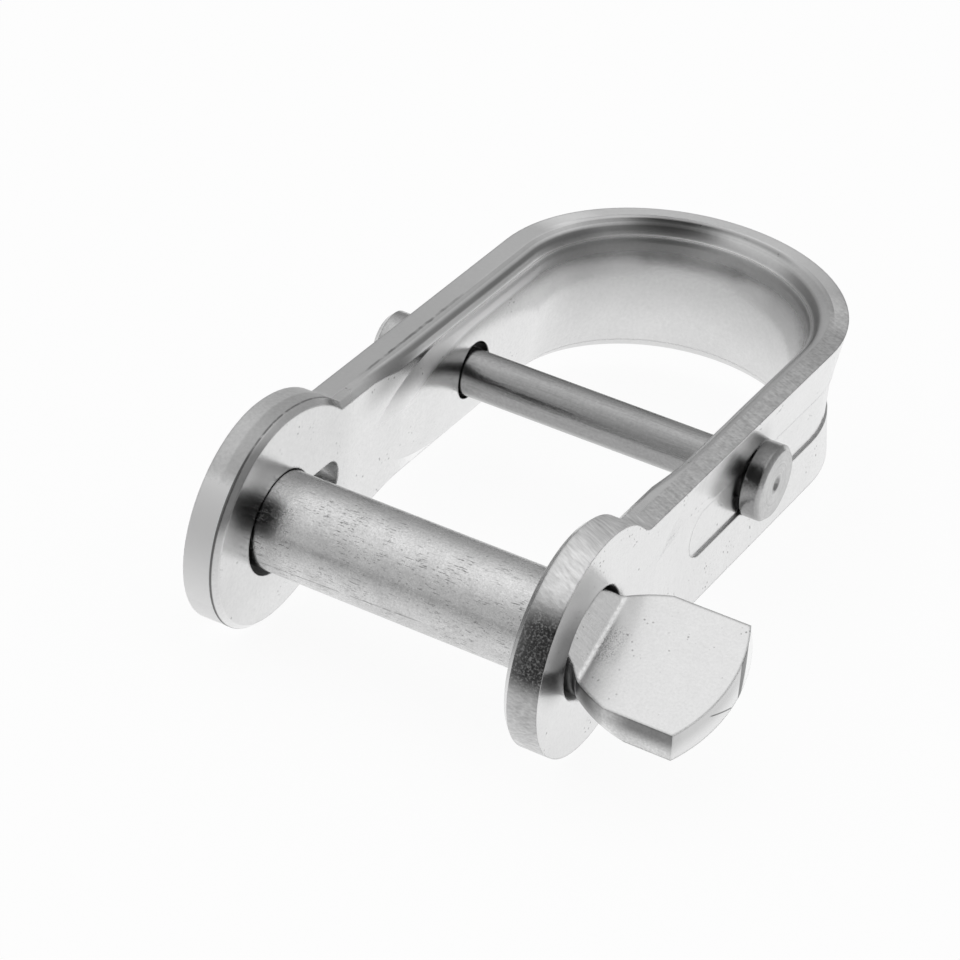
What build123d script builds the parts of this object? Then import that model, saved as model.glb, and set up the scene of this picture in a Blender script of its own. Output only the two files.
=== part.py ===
from build123d import *
from math import acos, degrees, sqrt
import os

# Halyard shackle: a stamped and bent strip, a forged key pin and a captive crossbar.
# Millimetres. X runs along the key pin, Y from the pin to the bow, Z across the strip.
# The origin is on the key pin's axis, midway between the ears.

# Strip
inside_width = 24.2
strip_thickness = 2.9
strip_width = 12.4
bow_centre_y = 39.8
rim_chamfer = 0.45

# Ears
ear_radius = 9.1
neck_radius = 2.0
ear_offset = 0.2
shoulder_radius = 13.2
shoulder_neck_radius = 1.2

# Key pin shank
shank_diameter = 8.0
pin_hole_clearance = 0.35
hole_roll = 0.7
keyhole_drop = 0.25
tip_length = 0.5
tip_chamfer = 0.4

# Key lug and its slot
lug_width = 2.8
lug_reach = 8.2
lug_length = 1.8
lug_gap = 0.2
slot_side_clearance = 0.4
slot_end_clearance = 0.5

# Pressed blade head
head_turn = 22.0
blade_thickness = 2.85
blade_drop = 0.15
blade_upset = 6.05
blade_top_half_width = 5.55
blade_draft = 0.3
cheek_bulge = 0.35
cheek_length = 5.2
blade_length = 11.0
blade_end_radius = 12.0
blade_end_offset = 0.65
crease_gap = 0.7
crease_skew = 2.5
crease_rounding = 0.4
ramp_length = 2.85
root_gap = 0.15

# Crossbar
bar_diameter = 4.0
bar_y = 28.4
bar_hole_offset = 0.3
bar_hole_clearance = 0.5
bar_head_diameter = 6.4
bar_head_length = 1.65
bar_head_chamfer = 0.35
peened_head_diameter = 5.5
peened_head_length = 2.0
peened_head_chamfer = 0.5
bar_play = 2.75
bar_seat_gap = 0.05
centre_mark_diameter = 1.05
centre_mark_bore = 0.5
centre_mark_depth = 0.7

# Rope saddle pressed to the inside
saddle_rise = 0.85
saddle_sag = 0.6
saddle_half_width = 4.6
nose_half_width = 5.0
nose_drop = 0.15
saddle_full_y = 30.0
saddle_run = 15.8

# Rims squeezed back beside the saddle
rim_land = 1.65
rim_drop = 1.1
cove_rise = 1.1
cove_sag = 0.2
rim_full_y = 21.2
rim_run = 12.6
rim_shift = 1.3

# Hollow and channel on the outside
hollow_depth = 0.55
hollow_full_y = 17.0
hollow_run = 7.5
channel_depth = 0.7
channel_half_width = 2.1
channel_end_y = 18.9
channel_drop = 0.25

# Sizes that follow
inside_half = inside_width / 2
outside_half = inside_half + strip_thickness
half_width = strip_width / 2
bow_end_y = bow_centre_y + outside_half
leg_start_y = ear_offset - ear_radius
shank_radius = shank_diameter / 2
pin_hole_radius = shank_radius + pin_hole_clearance
bar_radius = bar_diameter / 2
bar_head_radius = bar_head_diameter / 2
peened_head_radius = peened_head_diameter / 2
bar_hole_radius = bar_radius + bar_hole_clearance
bar_hole_y = bar_y + bar_hole_offset
past = 5.0


def strip_path(full_y, run, shift):
    """Line along the strip's outer face, seen from above, from ear to ear round the bow.

    Its straight legs start at full_y. Before them, towards each ear, it curves away over
    run by shift: outwards where shift is positive, inwards where it is negative.
    """
    radius = (run**2 + shift**2) / (2 * abs(shift))
    angle = degrees(acos(1 - abs(shift) / radius))
    side = 1 if shift > 0 else -1
    left_angle = 0 if shift > 0 else 180
    right_angle = 180 - left_angle
    centre_x = outside_half + side * radius
    with BuildLine() as path:
        CenterArc((-centre_x, full_y), radius, left_angle - side * angle, side * angle)
        Line((-outside_half, full_y), (-outside_half, bow_centre_y))
        ThreePointArc(
            (-outside_half, bow_centre_y), (0, bow_end_y), (outside_half, bow_centre_y)
        )
        Line((outside_half, bow_centre_y), (outside_half, full_y))
        CenterArc((centre_x, full_y), radius, right_angle, side * angle)
    return path.wire()


def section_plane(path):
    """Plane across the path's first end: local x is height, local y is inwards."""
    return Plane(origin=path @ 0, x_dir=(0, 0, 1), z_dir=path % 0)


# Side outlines: round ears on a straight leg, the left one with longer shoulders
shoulder_base = half_width - ear_radius + shoulder_radius
shoulder_angle = degrees(acos(shoulder_base / shoulder_radius))
with BuildPart() as sides:
    with BuildSketch(Plane.YZ) as right_outline:
        with Locations((ear_offset, 0)):
            Circle(ear_radius)
            Rectangle(bow_end_y + past, strip_width, align=(Align.MIN, Align.CENTER))
        fillet(right_outline.vertices().group_by(Axis.X)[0], radius=neck_radius)
    extrude(amount=outside_half + past)
    with BuildSketch(Plane.YZ) as left_outline:
        with Locations((ear_offset, 0)):
            Circle(ear_radius)
            Rectangle(bow_end_y + past, strip_width, align=(Align.MIN, Align.CENTER))
        with BuildLine():
            CenterArc(
                (ear_offset, ear_radius - shoulder_radius),
                shoulder_radius,
                90 - shoulder_angle,
                shoulder_angle,
            )
            mirror(about=Plane.XZ)
            Line((ear_offset, ear_radius), (ear_offset, -ear_radius))
            neck_y = ear_offset + sqrt(shoulder_radius**2 - shoulder_base**2)
            Line((neck_y, half_width), (neck_y, -half_width))
        make_face()
        necks = left_outline.vertices().filter_by_position(Axis.X, neck_y, neck_y)
        fillet(necks, radius=shoulder_neck_radius)
    extrude(amount=-outside_half - past)

# Blank: the strip bent to a U seen from above, with the ears' inner rims broken
with BuildPart() as blank:
    with BuildSketch(Plane.XY.offset(-ear_radius)):
        with Locations((0, bow_centre_y)):
            Circle(outside_half)
        with Locations((0, leg_start_y)):
            Rectangle(
                2 * outside_half, bow_centre_y - leg_start_y, align=(Align.CENTER, Align.MIN)
            )
        with Locations((0, bow_centre_y)):
            Circle(inside_half, mode=Mode.SUBTRACT)
        with Locations((0, leg_start_y)):
            Rectangle(
                inside_width,
                bow_centre_y - leg_start_y,
                align=(Align.CENTER, Align.MIN),
                mode=Mode.SUBTRACT,
            )
    extrude(amount=2 * ear_radius)
    add(sides.part, mode=Mode.INTERSECT)
    inner_faces = blank.faces().filter_by(Axis.X).sort_by(lambda f: abs(f.center().X))[:2]
    ear_rims = [
        edge
        for face in inner_faces
        for edge in face.edges().filter_by(GeomType.CIRCLE)
        if edge.radius > pin_hole_radius
    ]
    chamfer(ear_rims, length=rim_chamfer)

# Hollow of the outer face, deepest towards mid height, running out before the ears
hollow_path = strip_path(hollow_full_y, hollow_run, hollow_depth)
with BuildPart() as hollow:
    with BuildSketch(section_plane(hollow_path)):
        with BuildLine():
            Polyline(
                (half_width, 0),
                (channel_half_width, hollow_depth),
                (-channel_half_width, hollow_depth),
                (-half_width, 0),
                (-half_width, -past),
                (half_width, -past),
                close=True,
            )
        make_face()
    sweep(path=hollow_path)

# Channel along the outer face, a little below mid height, with full round ends
channel_start_y = channel_end_y - channel_half_width
with BuildPart() as channel:
    with BuildSketch(Plane.XY.offset(-channel_drop - channel_half_width)):
        with Locations((0, bow_centre_y)):
            Circle(outside_half + past)
        with Locations((0, channel_start_y)):
            Rectangle(
                2 * (outside_half + past),
                bow_centre_y - channel_start_y,
                align=(Align.CENTER, Align.MIN),
            )
        with Locations((0, bow_centre_y)):
            Circle(outside_half - channel_depth, mode=Mode.SUBTRACT)
        with Locations((0, channel_start_y)):
            Rectangle(
                2 * (outside_half - channel_depth),
                bow_centre_y - channel_start_y,
                align=(Align.CENTER, Align.MIN),
                mode=Mode.SUBTRACT,
            )
    extrude(amount=2 * channel_half_width)
    with BuildSketch(Plane.YZ.offset(-outside_half - 2 * past)):
        with Locations((channel_end_y, -channel_drop)):
            Circle(channel_half_width)
            Rectangle(
                bow_end_y + 2 * past - channel_end_y,
                2 * channel_half_width,
                align=(Align.MIN, Align.CENTER),
            )
    extrude(amount=2 * (outside_half + 2 * past), mode=Mode.INTERSECT)

# Rim cuts: both edges squeezed back beside the saddle, with a cove at the wall's foot
rim_path = strip_path(rim_full_y, rim_run, -rim_shift)
ledge_height = half_width - rim_drop
ledge_depth = strip_thickness + saddle_rise + past
with BuildPart() as rim_cut:
    with BuildSketch(section_plane(rim_path)):
        with BuildLine():
            SagittaArc((half_width, rim_land), (ledge_height, rim_land + cove_rise), -cove_sag)
            Polyline(
                (ledge_height, rim_land + cove_rise),
                (ledge_height, ledge_depth),
                (half_width + past, ledge_depth),
                (half_width + past, rim_land),
                (half_width, rim_land),
            )
        make_face()
    sweep(path=rim_path)
    mirror(about=Plane.XY)

# Saddle: a convex ridge with soft shoulders, rising out of the legs' inner faces
saddle_path = strip_path(saddle_full_y, saddle_run, saddle_rise)
crest = strip_thickness + saddle_rise
shoulder = crest - saddle_sag
with BuildPart() as saddle:
    with BuildSketch(section_plane(saddle_path)):
        with BuildLine():
            ThreePointArc(
                (saddle_half_width, shoulder), (0, crest), (-saddle_half_width, shoulder)
            )
            Polyline(
                (-saddle_half_width, shoulder),
                (-nose_half_width, shoulder - nose_drop),
                (-nose_half_width, rim_land),
                (nose_half_width, rim_land),
                (nose_half_width, shoulder - nose_drop),
                (saddle_half_width, shoulder),
            )
        make_face()
    sweep(path=saddle_path)

# Body: the bent blank with its pressed forms, pin holes, keyhole slot and crossbar holes
slot_half_width = lug_width / 2 + slot_side_clearance
slot_centre_y = lug_reach + slot_end_clearance - slot_half_width
with BuildPart() as body:
    add(blank.part)
    add(saddle.part)
    add(rim_cut.part, mode=Mode.SUBTRACT)
    add(hollow.part, mode=Mode.SUBTRACT)
    add(channel.part, mode=Mode.SUBTRACT)
    with BuildSketch(Plane.YZ.offset(-outside_half - past)):
        with Locations((bar_hole_y, 0)):
            Circle(bar_hole_radius)
    extrude(amount=2 * (outside_half + past), mode=Mode.SUBTRACT)
    with BuildSketch(Plane.YZ):
        Circle(pin_hole_radius)
    extrude(amount=outside_half + past, mode=Mode.SUBTRACT)
    right_face = body.faces().filter_by(Axis.X).sort_by(Axis.X)[-1]
    round_edges = right_face.edges().filter_by(GeomType.CIRCLE)
    hole_edge = round_edges.sort_by(lambda edge: abs(edge.radius - pin_hole_radius))[0]
    fillet(hole_edge, radius=hole_roll)
    with BuildSketch(Plane.YZ):
        with Locations((0, -keyhole_drop)):
            Circle(pin_hole_radius)
            Rectangle(
                slot_centre_y, 2 * slot_half_width, align=(Align.MIN, Align.CENTER)
            )
        with Locations((slot_centre_y, -keyhole_drop)):
            Circle(slot_half_width)
    extrude(amount=-outside_half - past, mode=Mode.SUBTRACT)
body.part.label = "shackle_body"

# Blade head: the pin's end, round and upset wider, outside the right ear
root_x = outside_half + root_gap
cheek_x = root_x + cheek_length
blade_end_x = outside_half + blade_length
blade_plane = Plane.XY.rotated((head_turn, 0, 0)).offset(-blade_drop)
width_plane = Plane(origin=blade_plane.origin, x_dir=blade_plane.y_dir, z_dir=(1, 0, 0))
section_half = shank_radius + blade_drop
wall_slope = blade_draft / blade_thickness
wall_top = blade_top_half_width - wall_slope * (section_half - blade_thickness / 2)
wall_foot = blade_top_half_width + wall_slope * (section_half + blade_thickness / 2)
with BuildPart() as blade:
    with BuildSketch():
        with BuildLine():
            ThreePointArc(
                (root_x, shank_radius),
                (
                    (root_x + cheek_x) / 2,
                    (shank_radius + blade_upset) / 2 + cheek_bulge,
                ),
                (cheek_x, blade_upset),
            )
            Polyline(
                (cheek_x, blade_upset),
                (blade_end_x, blade_upset),
                (blade_end_x, 0),
                (root_x, 0),
                (root_x, shank_radius),
            )
        make_face()
    revolve(axis=Axis.X)
    with BuildSketch(blade_plane.offset(-blade_upset)):
        with Locations((blade_end_x - blade_end_radius, blade_end_offset)):
            Circle(blade_end_radius)
    extrude(amount=2 * blade_upset, mode=Mode.INTERSECT)
    with BuildSketch(width_plane.offset(root_x)):
        with BuildLine():
            Polyline(
                (wall_top, section_half),
                (wall_foot, -section_half),
                (-wall_foot, -section_half),
                (-wall_top, section_half),
                close=True,
            )
        make_face()
    extrude(amount=blade_length, mode=Mode.INTERSECT)

# Presses: what the dies take off above and below the blade, with a ramp up to the round
# shank and a crease at the ramp's foot, a little askew
crease_origin = blade_plane.from_local_coords((outside_half + crease_gap, 0, 0))
crease_axis = Axis(crease_origin, blade_plane.z_dir)
ramp_x_dir = blade_plane.x_dir.rotate(crease_axis, crease_skew)
ramp_z_dir = -blade_plane.y_dir.rotate(crease_axis, crease_skew)
ramp_plane = Plane(crease_origin, x_dir=ramp_x_dir, z_dir=ramp_z_dir)
with BuildPart() as presses:
    with BuildSketch(ramp_plane.offset(-blade_length)) as ramps:
        with BuildLine():
            Polyline(
                (-ramp_length, section_half),
                (0, blade_thickness / 2),
                (blade_length + past, blade_thickness / 2),
                (blade_length + past, blade_upset + past),
                (-ramp_length, blade_upset + past),
                close=True,
            )
        make_face()
        mirror(about=Plane.XZ)
        creases = ramps.vertices().filter_by_position(Axis.X, 0, 0)
        fillet(creases, radius=crease_rounding)
    extrude(amount=2 * blade_length)

# Key pin: round shank with the blade head, and the lug at its far end
lug_inner_x = -outside_half - lug_gap
lug_outer_x = lug_inner_x - lug_length
with BuildPart() as key_pin:
    with BuildSketch(Plane.YZ.offset(lug_outer_x - tip_length)):
        Circle(shank_radius)
    extrude(amount=root_x - lug_outer_x + tip_length)
    chamfer(key_pin.edges().group_by(Axis.X)[0], length=tip_chamfer)
    add(blade.part)
    add(presses.part, mode=Mode.SUBTRACT)
    with BuildSketch(Plane.YZ.offset(lug_outer_x)):
        Rectangle(lug_reach - lug_width / 2, lug_width, align=(Align.MIN, Align.CENTER))
        with Locations((lug_reach - lug_width / 2, 0)):
            Circle(lug_width / 2)
    extrude(amount=lug_length)
key_pin.part.label = "key_pin"

# Crossbar: a bar with a turned head and, at its other end, a smaller peened one, loose
# along its axis
head_sink = hollow_depth * (half_width - bar_head_radius) / (half_width - channel_half_width)
right_seat_x = outside_half - head_sink + bar_seat_gap
left_seat_x = -right_seat_x - bar_play
with BuildPart() as crossbar:
    with BuildSketch(Plane.YZ.offset(left_seat_x)):
        with Locations((bar_y, 0)):
            Circle(bar_radius)
    extrude(amount=right_seat_x - left_seat_x)
    with BuildSketch(Plane.YZ.offset(right_seat_x)):
        with Locations((bar_y, 0)):
            Circle(bar_head_radius)
    extrude(amount=bar_head_length)
    with BuildSketch(Plane.YZ.offset(left_seat_x)):
        with Locations((bar_y, 0)):
            Circle(peened_head_radius)
    extrude(amount=-peened_head_length)
    chamfer(crossbar.edges().group_by(Axis.X)[-1], length=bar_head_chamfer)
    chamfer(crossbar.edges().group_by(Axis.X)[0], length=peened_head_chamfer)
    with Locations(Plane.YZ.offset(right_seat_x + bar_head_length)):
        with Locations((bar_y, 0)):
            CounterSinkHole(
                radius=centre_mark_bore / 2,
                counter_sink_radius=centre_mark_diameter / 2,
                depth=centre_mark_depth,
            )
crossbar.part.label = "crossbar"

os.makedirs("parts", exist_ok=True)
export_step(body.part, "parts/shackle_body.step")
export_step(key_pin.part, "parts/key_pin.step")
export_step(crossbar.part, "parts/crossbar.step")
print("body", round(body.part.volume, 1), body.part.is_valid)
print("pin", round(key_pin.part.volume, 1), key_pin.part.is_valid)
print("bar", round(crossbar.part.volume, 1), crossbar.part.is_valid)
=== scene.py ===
# %% [markdown]
# # A halyard shackle
# A strip of stainless steel is stamped, squeezed to a rope saddle and bent to a U. A
# key pin with a blade pressed at its end closes the ears, and a crossbar rides in the
# legs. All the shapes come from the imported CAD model, already in place and in metres.
# What is made here is how the steel looks, and the white table and light round it.

import bpy
from mathutils import Matrix, Vector


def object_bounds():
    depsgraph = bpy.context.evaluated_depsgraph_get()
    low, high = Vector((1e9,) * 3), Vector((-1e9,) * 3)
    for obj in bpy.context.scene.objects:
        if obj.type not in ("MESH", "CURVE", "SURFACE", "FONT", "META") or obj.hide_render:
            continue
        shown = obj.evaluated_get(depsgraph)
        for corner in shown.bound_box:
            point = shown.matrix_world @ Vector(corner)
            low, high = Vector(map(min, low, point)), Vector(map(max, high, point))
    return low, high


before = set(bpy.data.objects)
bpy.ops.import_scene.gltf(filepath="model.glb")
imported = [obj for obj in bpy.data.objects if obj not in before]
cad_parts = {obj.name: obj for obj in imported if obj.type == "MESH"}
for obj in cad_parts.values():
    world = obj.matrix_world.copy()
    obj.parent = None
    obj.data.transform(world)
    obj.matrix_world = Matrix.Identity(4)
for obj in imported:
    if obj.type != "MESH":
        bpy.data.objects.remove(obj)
shackle_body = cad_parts["shackle_body"]
key_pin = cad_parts["key_pin"]
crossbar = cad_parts["crossbar"]
cad_box = [list(corner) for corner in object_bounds()]
scene = bpy.context.scene
print("CAD box in metres:", cad_box)

# %% [markdown]
# ## The camera
# The photograph looks down on the shackle from its pin's side, through a long lens, so
# that its far end hardly narrows. The camera's place comes from the shape itself: the
# round ears, the pin and the bow only fall on the picture as they do from one place.
# The lens is given for a 36 mm wide sensor, and the picture is as high as it is wide.

# %% Place the camera
MM = 0.001
SENSOR_WIDTH_MM = 36.0
LENS_MM = 138.94
CAMERA_PLACE_MM = (102.68, -205.80, 152.24)

camera_data = bpy.data.cameras.new("picture_camera")
camera_data.sensor_width = SENSOR_WIDTH_MM
camera_data.lens = LENS_MM
camera_data.clip_start = 0.01
camera = bpy.data.objects.new("picture_camera", camera_data)
scene.collection.objects.link(camera)
scene.camera = camera

sideways = Vector((0.86919, 0.48447, 0.09902))
upwards = Vector((-0.33217, 0.42371, 0.84269))
backwards = sideways.cross(upwards)
turned = Matrix((sideways, upwards, backwards)).transposed().to_4x4()
camera.matrix_world = Matrix.Translation(Vector(CAMERA_PLACE_MM) * MM) @ turned
print("camera stands", round(camera.location.length, 3), "m from the pin")

# %% [markdown]
# ## Shader maths as plain sums
# A material is a web of nodes, and a long web is hard to read. A small class holds one
# output socket, and its plus, minus, times and power signs add the Math nodes, so that
# a mask can be written as `1 - rim * grain`. Colours and vectors go through Vector Math
# instead, because a plain Math node would turn them grey.

# %% One class for sockets and sums
class Wire:
    """One output socket of a node tree, or the tree alone when socket is None."""

    def __init__(self, tree, socket=None):
        self.tree = tree
        self.socket = socket

    def node(self, kind, settings=None, sockets=None, out=0):
        """Add a node: its settings first, then its sockets, and take one output."""
        made = self.tree.nodes.new(kind)
        for name, value in (settings or {}).items():
            setattr(made, name, value)
        for name, value in (sockets or {}).items():
            if isinstance(value, Wire):
                self.tree.links.new(value.socket, made.inputs[name])
            else:
                made.inputs[name].default_value = value
        return Wire(self.tree, made.outputs[out])

    def math(self, operation, first, second):
        """A Math node, or a Vector Math node where either side is a vector."""
        sides = [side.socket.type for side in (first, second) if isinstance(side, Wire)]
        kind = "ShaderNodeMath" if set(sides) == {"VALUE"} else "ShaderNodeVectorMath"
        return self.node(kind, {"operation": operation}, {0: first, 1: second})

    def __add__(self, other):
        return self.math("ADD", self, other)

    def __radd__(self, other):
        return self.math("ADD", other, self)

    def __sub__(self, other):
        return self.math("SUBTRACT", self, other)

    def __rsub__(self, other):
        return self.math("SUBTRACT", other, self)

    def __mul__(self, other):
        return self.math("MULTIPLY", self, other)

    def __rmul__(self, other):
        return self.math("MULTIPLY", other, self)

    def __pow__(self, other):
        return self.math("POWER", self, other)

    def size(self):
        """How large a number is, whatever its sign."""
        return self.node("ShaderNodeMath", {"operation": "ABSOLUTE"}, {0: self})

    def larger(self, other):
        """The larger of this and the other."""
        return self.math("MAXIMUM", self, other)

    def smaller(self, other):
        """The smaller of this and the other."""
        return self.math("MINIMUM", self, other)

    def step(self, low, high):
        """Rise softly from 0 at low to 1 at high, or fall where low is the larger."""
        ends = {"Value": self, "From Min": min(low, high), "From Max": max(low, high)}
        smooth = {"interpolation_type": "SMOOTHSTEP"}
        rise = self.node("ShaderNodeMapRange", smooth, ends)
        return 1 - rise if low > high else rise

    def mix(self, other, amount):
        """This where amount is 0 and the other where it is 1."""
        return self + (other - self) * amount

    def split(self):
        """The x, y and z of a vector."""
        parts = self.node("ShaderNodeSeparateXYZ", None, {0: self})
        return [Wire(self.tree, out) for out in parts.socket.node.outputs]

    def scaled(self, factor):
        """This vector, made longer or shorter by a factor."""
        sockets = {0: self, "Scale": factor}
        return self.node("ShaderNodeVectorMath", {"operation": "SCALE"}, sockets)

    def grey(self):
        """The colour whose red, green and blue are all this number."""
        sockets = dict.fromkeys(("Red", "Green", "Blue"), self)
        return self.node("ShaderNodeCombineColor", None, sockets)


print("Wire can add nodes and sums")

# %% [markdown]
# ## Marks that worn steel carries
# Bare stainless steel that has been pressed and tumbled is never even. It has soft
# clouds, tiny pits and fine scratches that run the way it was worked. Each of these is
# a small function of the place on the metal, in millimetres, so that its size can be
# read in the code. A picture of scratches would be quicker, but it would have a seam.

# %% Clouds, pits, scratches and drag lines
DOT_EDGE, DOT_CORE = 0.28, 0.12
DRAG_STRETCH, DRAG_WIDTH = (0.35, 3.0, 3.0), 0.7


def place_in_mm(tree):
    """The place on the piece itself, in millimetres, which moves with the piece."""
    return Wire(tree).node("ShaderNodeTexCoord", out="Object").scaled(1 / MM)


def clouds(place, width, detail=3.0, roughness=0.55):
    """Soft blotches about width millimetres across, from 0 to 1."""
    shape = {"Scale": 1.0 / width, "Detail": detail, "Roughness": roughness}
    return place.node("ShaderNodeTexNoise", None, {"Vector": place, **shape})


def pits(place, spacing, share):
    """Small dots, one in each cell of that spacing, where a cloud is dense enough."""
    cells = {"Vector": place, "Scale": 1.0 / spacing}
    from_dot = place.node("ShaderNodeTexVoronoi", None, cells)
    dense = clouds(place, spacing * 4.0).step(1 - share, 1.08 - share)
    return from_dot.step(DOT_EDGE, DOT_CORE) * dense


def scratches(place, stretch, width, share):
    """Fine lines: a cloud pulled long along the axis where stretch is small."""
    return clouds(place * stretch, width, 2.0).step(1 - share, 1.1 - share)


def drag_lines(place, slant):
    """Short lines that a shearing tool drags across the sheet's thickness."""
    turned = {"Vector": place, "Angle": slant}
    slanted = place.node("ShaderNodeVectorRotate", {"rotation_type": "Z_AXIS"}, turned)
    return clouds(slanted * DRAG_STRETCH, DRAG_WIDTH, 4.0)


print("marks: clouds, pits, scratches and drag lines")

# %% [markdown]
# ## Making and finishing a steel
# Every steel here has the same shader: full metal, a neutral grey, a roughness and a
# bump. Only those sockets take a changing value. Everything that is the same all over
# is set as a number on the shader itself.
#
# No real edge is a perfect corner: light catches a thin rounded line along it. The
# Bevel node bends the shading there without changing the mesh, which fits a frame that
# must keep its size. A subdivided mesh with real roundings would catch the same light,
# but it would cost a hundred thousand faces for a line as thin as a hair.

# %% From masks to a finished steel
PALE_STEEL, DARK_STEEL = (0.80, 0.80, 0.80), (0.64, 0.64, 0.64)
RELIEF_MM = 0.02
BEVEL_SAMPLES = 4


def steel(piece, name, colour):
    """Dress a piece in a new metal; return its shader, the place and the facing."""
    material = bpy.data.materials.new(name)
    material.use_nodes = True
    tree = material.node_tree
    facing = Wire(tree).node("ShaderNodeTexCoord", out="Normal")
    shader = tree.nodes["Principled BSDF"]
    shader.inputs["Metallic"].default_value = 1.0
    shader.inputs["Base Color"].default_value = (*colour, 1.0)
    piece.data.materials.clear()
    piece.data.materials.append(material)
    print(piece.name, "wears", material.name)
    return shader, place_in_mm(tree), facing


def finish(shader, shade, roughness, height, edge_mm):
    """Lead the shade of its colour, a roughness and a relief to the shader."""
    wire = Wire(shader.id_data)
    colour = dict(zip("XYZ", shader.inputs["Base Color"].default_value))
    rounding = {"Radius": edge_mm * MM}
    relief = {
        "Strength": 1.0,
        "Distance": RELIEF_MM * MM,
        "Height": height,
        "Normal": wire.node("ShaderNodeBevel", {"samples": BEVEL_SAMPLES}, rounding),
    }
    for name, value in (
        ("Base Color", wire.node("ShaderNodeCombineXYZ", None, colour).scaled(shade)),
        ("Roughness", roughness),
        ("Normal", wire.node("ShaderNodeBump", None, relief)),
    ):
        wire.tree.links.new(value.socket, shader.inputs[name])


print("steels can be made and finished")

# %% [markdown]
# ## Bands and marks
# Many marks on the real thing follow its shape: a line along an edge, a stain on one
# ear, a ridge beside a crease. Each is a band round some value, such as a distance from
# the pin. A band that is the same everywhere looks drawn on, so a cloud frays it. Shade
# multiplies the steel's colour, so 1 is clean metal, and each mark changes it by a
# share: -0.5 leaves half of the light where the mark is.

# %% Bands, distances and marks
def band(value, middle, half, soft):
    """1 where value is within half of middle, fading to 0 over soft."""
    return (value - middle).size().step(half + soft, half)


def frayed(mask, place, width):
    """The same mask, broken up by a cloud of that width."""
    return mask * clouds(place, width, 4.0).step(0.36, 0.52)


def off_axis(place, middle_y, middle_z=0.0):
    """How far a point is from the line along X through that y and z."""
    _, y, z = place.split()
    along, up = y - middle_y, z - middle_z
    return (along * along + up * up) ** 0.5


def marked(shade, *marks):
    """The shade, changed by each mark in turn. A mark is a mask and its share."""
    for mask, share in marks:
        shade = shade * (1 + share * mask)
    return shade


print("bands, distances and marks are ready")

# %% [markdown]
# ## The pressed strip
# The strip has two kinds of surface. Its broad faces are the rolled and tumbled skin of
# the sheet, pale and satin. Its rims were sheared by the stamping tool, which leaves
# them darker and dragged into short lines across the sheet's thickness. The rims are
# found by their direction and place: they face up or down on the outer part of the legs
# and the bow, and outwards round the ears. All places are in millimetres: X runs along
# the key pin towards its blade, Y from the pin to the bow and Z across the strip.

# %% Rims of the strip
EAR_Y, BAR_Y, BOW_Y = 0.2, 28.4, 39.8

pressed, place, facing = steel(shackle_body, "pressed_steel_skin", PALE_STEEL)
x, y, z = place.split()
facing_x, _, facing_z = facing.split()
past_bow = (y - BOW_Y).larger(0.0)
from_middle = (x * x + past_bow * past_bow) ** 0.5
from_ear = off_axis(place, EAR_Y)
past_ears = y.step(8.0, 9.0)
leg_rim = facing_z.size().step(0.85, 0.97) * past_ears * from_middle.step(13.2, 13.4)
ear_rim = facing_x.size().step(0.5, 0.25) * (1 - past_ears)
ear_rim = ear_rim * from_ear.step(8.3, 8.5) * x.size().step(11.9, 12.1)
rim = leg_rim.larger(ear_rim)
print("rims are masked")

# %% [markdown]
# ### The broad faces
# The faces get soft clouds and fine pits. Inside the bow, painted shade darkens the
# face, most towards the top. Painted shade also darkens a patch where the shank meets
# the left ear, two beside the blade on the right ear, where it stands for the blade's
# reflection, and one round the crossbar's head, where it stands for its shadow.

# %% Faces and their dirt
def patch(middle_y, middle_z, edge, core):
    """A round patch on a leg or an ear: 1 within core, fading to 0 at edge."""
    return off_axis(place, middle_y, middle_z).step(edge, core)


blotches = clouds(place, 3.0, 5.0)
speckle = clouds(place, 0.30)
inside = from_middle.step(12.9, 12.6)
left_ear = x.step(-9.0, -11.0) * y.step(12.0, 8.0)
right_ear = x.step(9.0, 11.0) * y.step(12.0, 8.0)
spots = pits(place, 0.45, 0.43) * (1 - inside * y.step(34.0, 40.0))
# Painted shade inside the bow, darker towards the top.
bow_inner_shade = inside * y.step(39.0, 46.0) * (0.10 + 0.24 * z.step(-4.0, 2.5))
upper_ear = left_ear * z.step(-8.0, -3.0)
# Painted shade: by the shank, for the blade's reflection and for the head's shadow.
shank_corner_shade = left_ear * patch(-4.5, 3.2, 3.9, 1.0)
blade_reflection = right_ear * patch(-5.3, 1.8, 4.6, 1.0)
wide_blade_reflection = right_ear * patch(-5.2, 4.0, 5.4, 2.6)
head_shadow = patch(26.4, 1.8, 4.6, 1.6) * x.step(12.5, 13.0)
face_shade = marked(
    0.87 + 0.12 * blotches + 0.17 * speckle - 0.50 * spots,
    (bow_inner_shade, -1.0),
    (upper_ear, -0.09),
    (shank_corner_shade, -0.50),
    (blade_reflection, -0.62),
    (wide_blade_reflection, -0.28),
    (head_shadow, -0.36),
)
print("faces are shaded")

# %% [markdown]
# ### Holes and cove
# No cloth reaches the walls of the holes, and little light, so they are almost black:
# dull metal under painted shade.
# The walls of the keyhole's slot were sheared like the rims, so they are pale, rough
# and speckled. The cove that the press squeezed beside the rims is rougher than the
# faces.

# %% Holes, slot and cove
PIN_HOLE_RADIUS, SLOT_REACH, BAR_HOLE_RADIUS = 4.5, 8.2, 2.7


def hole_walls(middle_y, radius):
    """1 on the walls of a hole through a leg or an ear, whose axis runs along X."""
    return patch(middle_y, 0.0, radius + 0.2, radius) * facing_x.size().step(0.7, 0.4)


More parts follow.
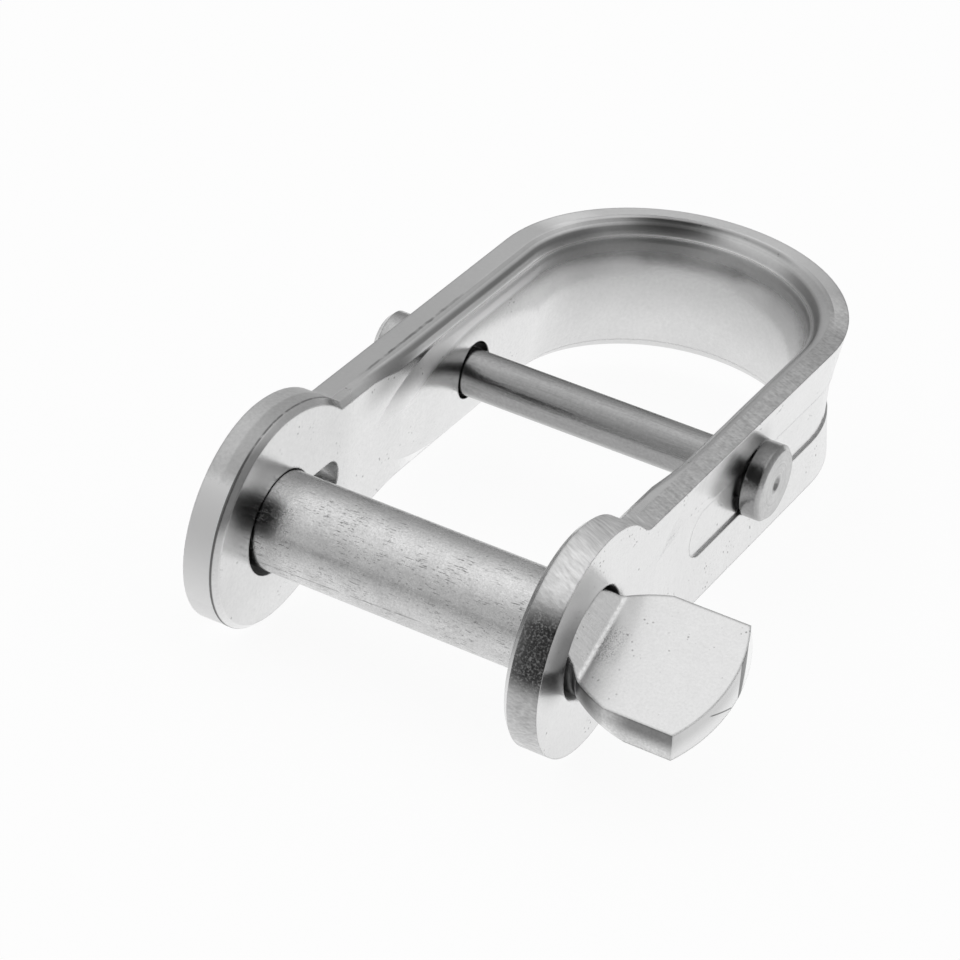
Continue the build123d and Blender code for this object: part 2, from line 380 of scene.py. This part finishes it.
pin_holes = hole_walls(0.0, PIN_HOLE_RADIUS) * (1 - left_ear * y.step(2.4, 3.0))
bar_holes = hole_walls(BAR_Y, BAR_HOLE_RADIUS)
slot = hole_walls(0.0, SLOT_REACH) * x.size().step(12.0, 12.2)
outer_foot = x.step(12.8, 13.6) * z.step(1.0, -1.0)
# Painted shade on the walls of the pin holes and the crossbar's holes.
hole_shade = (pin_holes * (0.90 - 0.40 * outer_foot)).larger(0.90 * bar_holes)
face_shade = face_shade.mix(0.85 + 0.60 * speckle, slot) * (1 - hole_shade)

cove = band(from_middle, 12.8, 1.0, 0.2) * facing_z.step(0.0, 0.2) * y.step(9.0, 12.0)
cove_rough = 0.32 + 0.10 * from_middle.step(12.7, 12.4)
face_rough = (0.16 + 0.10 * blotches).mix(0.8, slot).mix(cove_rough, cove)
print("holes, slot and cove are shaded")

# %% [markdown]
# ### The sheared rims
# On the blade's side the shearing tool has dragged lines across the rim. On the other
# side the rim of the leg is even and that of the ear finely mottled. A painted highlight
# lightens the left leg's rim towards the bow, most at the bow's far end, and the right
# leg's rim more than the bow's. The ear beside the blade has a patch on its rim that is
# burnt dark, with paler scabs on it.

# %% Shade of the rims
lines = drag_lines(place, 0.5)
blade_side = x.step(9.0, 14.0)

# Painted highlight on the rims of the legs and the bow's far end.
far_bow_highlight = y.step(43.0, 50.0) * x.step(10.0, 4.0)
even_leg = (0.83 + 0.08 * speckle) * (1 + 0.12 * y.step(20.0, 38.0) + 0.20 * far_bow_highlight)
drawn_leg = (0.20 + 1.02 * lines.mix(speckle, 0.5)) * (1 + 0.18 * y.step(40.0, 34.0))

high_inner = x.step(-13.9, -13.6) * z.step(5.0, 7.5)
left_light = 1 + 0.52 * z.step(7.0, 5.5) - 0.18 * high_inner
mottled_ear = (0.66 + 0.34 * speckle + 0.14 * blotches) * left_light
right_light = 1 + 0.18 * band(z, 7.9, 0.9, 1.4) - 0.12 * band(z, 0.0, 2.5, 1.5)
drawn_ear = (0.40 + 0.98 * lines) * (right_light + 0.18 * z.step(-4.0, -7.0))

burnt = ear_rim * blade_side * band(z, 3.3, 1.6, 2.3) * y.step(-2.0, -5.0)
scabs = clouds(place, 0.17, 4.0, 0.65).step(0.44, 0.72)
soot = (0.03 + 0.09 * blotches + 0.42 * scabs) * (0.55 + 0.8 * clouds(place, 0.7))

leg_shade = even_leg.mix(drawn_leg, blade_side)
ear_shade = mottled_ear.mix(drawn_ear, blade_side)
rim_shade = leg_shade.mix(ear_shade, ear_rim).mix(soot, burnt)
shade = face_shade.mix(rim_shade, rim)
print("rims are shaded")

# %% [markdown]
# ### Lines beside the left rims
# A thin dark line runs where the left ear's rim meets its bevelled edge. Painted shade
# darkens the bevel high up, and low down it is painted lighter. Along the left leg a
# ragged dark line and a dull groove follow the rim, where the squeezing tool pressed the
# cove; painted shade deepens them and the cove's steep foot. Farther in, a painted
# highlight runs down the ledge, and painted shadow darkens the face below it.

# %% Lines on the left ear and leg
facing_up = facing_z.step(0.3, 0.6)
not_down = facing_z.step(-0.2, 0.1)

ear_edge = from_ear.step(8.5, 8.7)
edge_line = band(x, -12.62, 0.06, 0.07) * ear_edge * y.step(8.0, 6.0)
edge_line = edge_line * z.step(8.6, 7.6).larger(0.7 * frayed(edge_line, place, 0.6))
bevel = band(x, -12.33, 0.20, 0.05) * ear_edge * y.step(0.0, -1.5)
# Painted shade on the bevel high up.
bevel_shade = bevel * band(z, 5.8, 1.7, 1.4) * (0.7 + 0.4 * speckle)

left_leg = x.step(0.0, -4.0) * y.step(11.0, 16.0) * facing_up
# Painted shade along the cove's groove, its ragged edge and its steep foot.
groove_shade = band(from_middle, 13.10, 0.12, 0.10) * left_leg
wavering = from_middle + 0.20 * (clouds(place, 0.8, 4.0) - 0.5)
patches = clouds(place, 1.8, 4.0).step(0.22, 0.60) * y.step(33.0, 24.0)
ragged_line_and_shade = band(wavering, 13.28, 0.03, 0.12) * patches * left_leg
foot_shade = band(from_middle, 12.52, 0.10, 0.14) * left_leg * y.step(25.0, 33.0)
# Painted highlight on the ledge, and painted shadow on the face below it.
ledge_highlight = band(from_middle, 12.08, 0.30, 0.12) * x.step(0.0, -4.0) * not_down
ledge_highlight = ledge_highlight * y.step(17.0, 23.0) * y.step(44.0, 38.0)
below_ledge_shadow = inside * z.step(2.4, 4.9) * y.step(10.5, 16.0) * x.step(0.0, -6.0)
below_ledge_shadow = below_ledge_shadow * (1 + 0.5 * y.step(31.0, 26.0)) * (1 - ledge_highlight)
# Painted shade and light from the marks above; low down the bevel is painted lighter.
shade = marked(
    shade,
    (edge_line, -0.75),
    (bevel_shade, -0.55),
    (bevel * z.step(4.0, 2.5), 0.12),
    (groove_shade, -0.20),
    (ragged_line_and_shade, -0.60),
    (foot_shade, -0.36),
    (ledge_highlight, 0.45),
    (below_ledge_shadow, -0.34),
)
print("lines are drawn on the left ear and leg")

# %% [markdown]
# ### Shadow and light in the cove
# At the far end of the bow the cove mirrors the dark and the bright sides of the tent.
# A mark of painted shade darkens the one and a painted highlight brightens the other, so
# that they are as strong as on the real metal. On the right leg, painted shade dims the
# cove, so that only a thin dark edge shows.

# %% Shadow, light and edge of the cove
bow_end = y.step(45.0, 48.0)
bow_shadow = band(from_middle, 13.30, 0.12, 0.30) * band(x, -1.0, 5.0, 3.0) * bow_end
bow_light = band(from_middle, 12.42, 0.22, 0.20) * band(x, -2.5, 7.0, 3.0) * bow_end
# Painted shade along the right leg's cove.
right_cove_shade = band(from_middle, 12.40, 0.16, 0.14) * x.step(4.0, 9.0) * y.step(9.0, 11.0)
shade = marked(
    shade,
    (bow_shadow * facing_up, -0.34),
    (bow_light * not_down, 0.45),
    (right_cove_shade * facing_up, -0.30),
)
print("cove has its shadow and light")

# %% [markdown]
# ### Relief
# The same marks stand up or lie deep, so they feed the bump too, in hundredths of a
# millimetre. One larger form is in it: at the far end of the bow the inner edge of the
# rim has sunk towards the cove as the strip was bent. The mesh keeps its flat rim
# there. The slope from the rim down to the cove's foot, about a millimetre deep, is in
# the shading only.

# %% Roughness and relief of the strip
COVE_FOOT, RIM_FLAT_FROM = 12.3, 13.8
SLOPE = 22.0

left_rough = 0.40 + 0.10 * speckle + 0.16 * ear_rim
rough = face_rough.mix(left_rough.mix(0.36 + 0.2 * lines, blade_side), rim)
above_cove = (from_middle.smaller(RIM_FLAT_FROM) - COVE_FOOT).larger(0.0)
sunk = SLOPE * above_cove * above_cove * y.step(43.0, 49.0)
face_height = 0.20 * speckle + 0.25 * blotches - 0.6 * spots
rim_height = (0.45 * speckle).mix(1.1 * lines + 0.5 * speckle, blade_side)
height = face_height.mix(rim_height, rim) - 0.8 * burnt * (1 - scabs) + sunk
finish(pressed, shade, rough, height, edge_mm=0.25)
print("strip is finished")

# %% [markdown]
# ## The forged key pin
# The pin was drawn as a rod and has been pulled through its eyes many times: short
# scratches run along it, a thin seam lies low on its side, and it is pitted in patches.
# The blade was pressed flat between dies, which polished its top. Along the crease
# where the dies ended, a painted highlight draws a thin bright ridge, with a hollow in
# painted shade beside it. Places on the blade are told by two sums: how far across it a
# point lies, and how high.

# %% Where things are on the pin
TURN_COS, TURN_SIN = 0.9272, 0.3746  # of the angle that the blade is turned about X
CREASE_X, CREASE_SLANT = 15.7, 0.0437


def across_and_above(vector):
    """The part of a vector that lies across the turned blade, and the part above it."""
    _, y, z = vector.split()
    return y * TURN_COS + z * TURN_SIN, z * TURN_COS - y * TURN_SIN


forged, place, facing = steel(key_pin, "forged_steel_skin", PALE_STEEL)
x, y, z = place.split()
across, high = across_and_above(place)
facing_top = across_and_above(facing)[1]
past_crease = x - CREASE_X + CREASE_SLANT * across
blade = past_crease.step(-0.3, 0.0)
pressed_top = facing_top.step(0.55, 0.7) * x.step(13.5, 14.2)
print("crease and top of the blade are masked")

# %% [markdown]
# ### The shank
# Drawing and use leave short dashes along the rod, so the cloud is stretched along X
# before it is cut off at a level. Painted shade darkens the part that rests inside the
# ears, and the corner where the shank meets the left ear.

# %% Shade and relief of the shank
blotches = clouds(place, 1.8, 5.0)
speckle = clouds(place, 0.22)
fine = clouds(place, 0.10)
spots = pits(place, 0.4, 0.43)
worn_zone = clouds(place, 2.5).step(0.35, 0.6)
dashes = scratches(place, (0.15, 1.0, 1.0), 0.09, 0.41) * worn_zone
hairs = scratches(place, (0.05, 1.0, 1.0), 0.10, 0.36)
seam_z = -1.75 + 0.04 * (x + 11.3)
seam = band(z, seam_z, 0.03, 0.05) * y.step(0.0, -1.0) * x.step(4.0, 1.0)
clean_shank = 0.24 + 0.40 * blotches + 0.45 * speckle + 0.50 * fine
worn_shank = clean_shank - 0.22 * spots - 0.40 * dashes - 0.08 * hairs
low_side = z.step(-0.5, -1.8) * x.step(-8.0, 2.0)
# Painted shade where the shank meets the left ear, and on the part inside the ears.
ear_corner_shade = band(z, 2.2, 0.9, 1.2) * y.step(-1.5, -3.0) * x.step(-9.8, -11.2)
in_ears = x.size().step(11.9, 12.5) * x.size().step(15.3, 14.4)
shank_shade = marked(
    worn_shank - 0.35 * frayed(seam, place, 1.2),
    (low_side, -0.10),
    (ear_corner_shade, -0.60),
    (in_ears, -0.50),
)
shank_height = 0.7 * speckle + 0.3 * fine + 0.5 * blotches
shank_height = shank_height - 0.7 * spots - 1.0 * dashes - 0.3 * hairs
print("shank is shaded")

# %% [markdown]
# ### The top of the blade
# The dies pushed the metal down a short ramp, which they dragged into fine lines, to
# the polished flat of the blade. A painted highlight makes the bright ridge at the crease,
# and painted shade dulls the pitted hollow behind it.

# %% Shade of the blade's top
ramp = past_crease.step(0.0, -0.12)
down_ramp = place.node("ShaderNodeCombineXYZ", None, {"X": x * 0.12, "Y": across})
ramp_lines = clouds(down_ramp, 0.30, 5.0, 0.7)
# Painted highlight on the ridge, painted shade in the hollow behind it.
ridge_highlight = band(past_crease, -0.06, 0.04, 0.18)
broken = clouds(place, 0.40, 4.0).step(0.20, 0.75)
hollow_shade = past_crease.step(0.05, 0.25) * past_crease.step(1.5, 0.3)
hollow_shade = hollow_shade * across.step(2.8, 0.8)
worn = band(past_crease, 0.75, 0.5, 0.8) * band(across, -0.3, 0.9, 1.4)
marks = scratches(place, (0.25, 0.8, 1.0), 0.25, 0.30)
top_spots = pits(place, 0.38, 0.42)
flat_shade = 0.84 + 0.10 * blotches + 0.18 * speckle - 0.50 * top_spots - 0.07 * marks
ramp_shade = 0.62 + 0.50 * ramp_lines + 0.30 * speckle - 0.40 * top_spots
top_shade = flat_shade.mix(ramp_shade, ramp) - 0.05 * hollow_shade * (0.6 + 0.5 * speckle)
top_shade = top_shade - 0.45 * worn * fine.step(0.50, 0.62)
top_shade = top_shade.mix(0.86 + 0.40 * broken, ridge_highlight)
print("top of the blade is shaded")

# %% [markdown]
# ### The side and the end of the blade
# The blade's side is darker at its root. Painted shade darkens it under the top edge,
# and it is lighter below. On the cut end there is a crack, and a dark lap where the metal
# folded. Past the lap the end is painted light, as pale as the white table behind it.

# %% Shade of the blade's side and end
# Painted shade on the blade's side: dark under the top edge, lighter below.
low = high.step(0.5, -1.2)
side_shade = 0.12 + 0.12 * low + x.step(16.7, 18.9) * (0.62 + 0.16 * low)
side_shade = side_shade - (0.10 + 0.36 * (1 - low)) * x.step(18.5, 21.0)
side_shade = side_shade * (0.50 + 0.60 * speckle + 0.40 * blotches)

crack_height = 0.45 - 0.75 * (across + 2.4)
crack = band(high, crack_height, 0.05, 0.06) * band(across, -1.1, 1.0, 0.4)
past_lap = across - 2.30 - 0.62 * high
lap = (past_lap.size() - (0.62 + 0.24 * high)).step(0.10, -0.05) * across.step(0.8, 1.2)
end_shade = 0.98 + 0.08 * speckle - 0.26 * high.step(-1.3, 0.6)
# Painted light past the lap, as pale as the table behind it.
end_shade = end_shade.mix(1.22, past_lap.step(0.7, 0.9))
end_shade = marked(end_shade, (crack, -0.78), (lap, -0.88))

cut_end = facing.split()[0].step(0.75, 0.9) * x.step(22.0, 23.0)
blade_shade = side_shade.mix(top_shade, pressed_top).mix(end_shade, cut_end)
print("side and end of the blade are shaded")

# %% [markdown]
# ### The pin as one
# The neck between the ear and the ramp is round like the shank and as dark as the root.
# Then shank and blade are joined by their masks, in shade, roughness and relief.

# %% Finish of the whole pin
neck = x.step(14.6, 15.0) * (1 - pressed_top)
on_blade = blade.larger(pressed_top)
shade = marked(shank_shade, (neck, -0.30)).mix(blade_shade, on_blade)
shank_rough = 0.17 + 0.12 * blotches + 0.05 * speckle
rough = shank_rough.mix(0.20 + 0.08 * blotches, blade)
top_height = 0.15 * speckle + (0.6 * ramp_lines + 9.0 * past_crease) * ramp
height = shank_height.mix(top_height - 0.5 * worn * fine, on_blade)
finish(forged, shade, rough, height, edge_mm=0.35)
print("pin is finished")

# %% [markdown]
# ## The turned crossbar
# The bar's shaft is plain drawn wire, darker than the strip. Painted reflection darkens a
# band along its near side, and painted shade the parts inside the legs. Its head was
# faced on a lathe, and the tool left rings round the middle and a dark centre mark. The
# rings follow the distance from the bar's own axis, so they stay round however it is
# turned.

# %% Turned steel of the bar
turned_bar, place, _ = steel(crossbar, "turned_steel_skin", DARK_STEEL)
x, y, z = place.split()
from_axis = off_axis(place, BAR_Y)
on_head = x.size().step(14.5, 14.7)
end_face = x.size().step(16.0, 16.3)
outward = place.node("ShaderNodeCombineXYZ", None, {"X": from_axis * 6.0})
rings = clouds(outward, 1.0)
speckle = clouds(place, 0.25)
drawn = scratches(place, (0.06, 1.0, 1.0), 0.2, 0.5)
# Painted reflection along the near side, painted shade inside the legs.
near_side_reflection = z.step(2.2, 1.6) * z.step(-1.4, -0.8) * y.step(BAR_Y, 27.0)
in_legs = x.size().step(11.9, 12.2) * x.size().step(15.2, 14.6)
shaft_shade = 0.58 + 0.30 * speckle - 0.04 * drawn
shaft_shade = marked(shaft_shade, (near_side_reflection, -0.26), (in_legs, -0.80))

smear = clouds(place, 1.2, 4.0)
centre_mark = from_axis.step(0.9, 0.5) * end_face
faced = 0.40 + 0.20 * rings.step(0.3, 0.7) + 0.30 * speckle + 0.36 * smear
head_shade = (0.44 + 0.30 * speckle).mix(faced, end_face)
head_shade = marked(head_shade, (centre_mark, -0.45))

height = (0.4 * speckle - 0.2 * drawn).mix(1.2 * rings + 0.7 * speckle, on_head)
shade = shaft_shade.mix(head_shade, on_head)
finish(turned_bar, shade, 0.17 + 0.10 * speckle, height, edge_mm=0.15)
print("crossbar is finished")

# %% [markdown]
# ## The table
# Polished metal shows what is round it, so the white table is half of its look. It is
# brightest behind the shackle and dimmer in front, where whoever takes the picture
# stands in the light, and the metal's lower sides show that. To the camera the table
# is white with the shackle's faint shadow, which the plain paint under the glow keeps.

# %% A white table under the shackle
TABLE_SIZE_M = 4.0
TABLE_GAP_MM = 0.02


def white_table(height_m, size_m):
    """A square table, white to the camera and brighter at its back to the metal."""
    bpy.ops.mesh.primitive_plane_add(size=size_m, location=(0.0, 0.0, height_m))
    made = bpy.context.active_object
    made.name = "white_table"
    material = bpy.data.materials.new("white_table_paint")
    material.use_nodes = True
    tree = material.node_tree
    paint = tree.nodes["Principled BSDF"]
    paint.inputs["Base Color"].default_value = (0.8, 0.8, 0.8, 1.0)
    paint.inputs["Roughness"].default_value = 0.9
    paint.inputs["Specular IOR Level"].default_value = 0.0
    paint = Wire(tree, paint.outputs[0])
    y = place_in_mm(tree).split()[1]
    back = 0.25 + 0.42 * y.step(-75.0, -15.0) + 0.38 * y.step(-24.0, 2.0)
    mirrored = {"Color": back.grey(), "Strength": 1.06}
    shown = {"Color": (1.0, 1.0, 1.0, 1.0), "Strength": 1.05}
    blend = paint
    for ray, share, light in (("Glossy", 0.78, mirrored), ("Camera", 0.88, shown)):
        amount = paint.node("ShaderNodeLightPath", out=f"Is {ray} Ray") * share
        glow = paint.node("ShaderNodeEmission", None, light)
        blend = paint.node("ShaderNodeMixShader", None, {0: amount, 1: blend, 2: glow})
    tree.links.new(blend.socket, tree.nodes["Material Output"].inputs["Surface"])
    made.data.materials.append(material)
    return made


table = white_table(cad_box[0][2] - TABLE_GAP_MM * MM, TABLE_SIZE_M)
print("table at", round(table.location.z / MM, 2), "mm")

# %% [markdown]
# ## Light
# The shackle stands in a white tent: bright overhead, softer towards the horizon, with
# a dark opening where the camera looks in. Those differences are what the metal shows
# as light and dark bands. The tent is the world's colour, which follows the direction,
# and to the camera itself it is plain white. One broad lamp overhead gives the tops
# their brightness and the table its shadow.

# %% The tent and the lamp
TO_CAMERA = (0.366, -0.765, 0.53)


def tent():
    """A world that is bright overhead and dark where the camera looks in."""
    world = bpy.data.worlds.new("white_tent")
    world.use_nodes = True
    tree = world.node_tree
    direction = Wire(tree).node("ShaderNodeTexCoord", out="Generated")
    x, y, z = direction.split()
    towards_camera = x * TO_CAMERA[0] + y * TO_CAMERA[1] + z * TO_CAMERA[2]
    opening = towards_camera.step(0.79, 0.94)
    bright = 0.38 + 0.42 * z.step(0.35, 1.0) + 0.20 * y.step(0.2, -0.8)
    bright = bright * (1 - 0.98 * opening)
    seen = direction.node("ShaderNodeLightPath", out="Is Camera Ray")
    bright = bright.mix(1.0, seen)
    backdrop = tree.nodes["Background"]
    backdrop.inputs["Strength"].default_value = 1.0
    tree.links.new(bright.grey().socket, backdrop.inputs["Color"])
    return world


def lamp(name, place_mm, aim_mm, width_mm, watts):
    """A round lamp at one place that shines towards another."""
    light = bpy.data.lights.new(name, "AREA")
    light.shape = "DISK"
    light.size = width_mm * MM
    light.energy = watts
    holder = bpy.data.objects.new(name, light)
    holder.location = Vector(place_mm) * MM
    toward = Vector(aim_mm) * MM - holder.location
    holder.rotation_euler = toward.to_track_quat("-Z", "Y").to_euler()
    scene.collection.objects.link(holder)


scene.world = tent()
lamp(
    "overhead_lamp",
    place_mm=(-60.0, 60.0, 700.0),
    aim_mm=(0.0, 25.0, 0.0),
    width_mm=600.0,
    watts=0.18,
)
scene.view_settings.view_transform = "Standard"
print("tent and lamp are in place")
